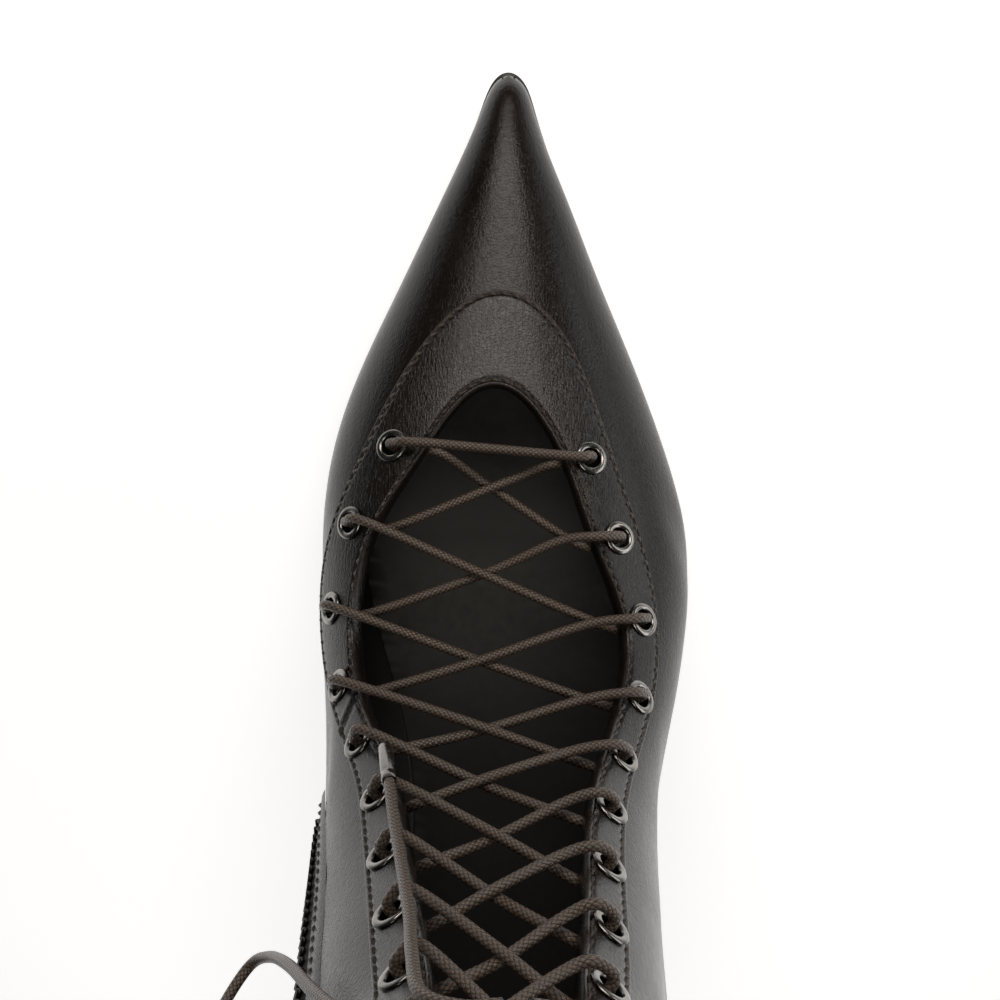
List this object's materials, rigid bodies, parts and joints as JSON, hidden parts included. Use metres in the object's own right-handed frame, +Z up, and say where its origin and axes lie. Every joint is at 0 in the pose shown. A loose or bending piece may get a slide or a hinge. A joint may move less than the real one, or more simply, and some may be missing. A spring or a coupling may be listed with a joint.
{
  "type": "pointed-toe ankle boot",
  "caption": "Pointed-toe leather ankle boot with an open laced throat, metal eyelets, a round lace tied in a bow, an inside zip and a slim covered heel.",
  "frame": {"origin": "on the floor under the ball of the foot, in the flat of the tread", "axes": "toe towards -Y, +X towards the medial side, +Z up"},
  "size_m": [0.0925, 0.252, 0.185],
  "materials": {
    "boot_leather": "smooth semi-gloss, near-black brown",
    "lining_leather": "matt black",
    "sole_edge": "black edge dye, satin",
    "heel_cover": "smooth semi-gloss, near-black brown",
    "top_lift_rubber": "matt black",
    "waxed_lace": "waxed braid, dark brown",
    "dark_nickel": "dark nickel, polished",
    "zip_strip": "black tape with dark teeth"
  },
  "bodies": {
    "boot": {"upper": "boot_leather", "eyestay": "boot_leather", "insole": "lining_leather", "outsole": "sole_edge", "heel": "heel_cover", "heel_top_lift": "top_lift_rubber", "zip_tape": "zip_strip", "zip_slider": "dark_nickel", "eyelet_medial_1": "dark_nickel", "eyelet_medial_2": "dark_nickel", "eyelet_medial_3": "dark_nickel", "eyelet_medial_4": "dark_nickel", "eyelet_medial_5": "dark_nickel", "eyelet_medial_6": "dark_nickel", "eyelet_medial_7": "dark_nickel", "eyelet_medial_8": "dark_nickel", "eyelet_medial_9": "dark_nickel", "eyelet_medial_10": "dark_nickel", "eyelet_medial_11": "dark_nickel", "eyelet_lateral_1": "dark_nickel", "eyelet_lateral_2": "dark_nickel", "eyelet_lateral_3": "dark_nickel", "eyelet_lateral_4": "dark_nickel", "eyelet_lateral_5": "dark_nickel", "eyelet_lateral_6": "dark_nickel", "eyelet_lateral_7": "dark_nickel", "eyelet_lateral_8": "dark_nickel", "eyelet_lateral_9": "dark_nickel", "eyelet_lateral_10": "dark_nickel", "eyelet_lateral_11": "dark_nickel", "aglet_medial": "dark_nickel", "aglet_lateral": "dark_nickel", "lace_bar_1": "waxed_lace", "lace_cross_1": "waxed_lace", "lace_cross_2": "waxed_lace", "lace_cross_3": "waxed_lace", "lace_cross_4": "waxed_lace", "lace_cross_5": "waxed_lace", "lace_cross_6": "waxed_lace", "lace_cross_7": "waxed_lace", "lace_cross_8": "waxed_lace", "lace_cross_9": "waxed_lace", "lace_cross_10": "waxed_lace", "lace_knot": "waxed_lace", "lace_loop_medial": "waxed_lace", "lace_loop_lateral": "waxed_lace", "lace_end_medial": "waxed_lace", "lace_end_lateral": "waxed_lace"},
    "pull_tab": {"zip_pull": "dark_nickel"}
  },
  "joints": [
    {"name": "zip_pull_swing", "type": "hinge", "parent": "boot", "child": "pull_tab", "pos_m": [0.03917, 0.08903, 0.16877], "axis": [-0.1273, -0.9532, 0.2744], "range_deg": [0, 150]}
  ]
}
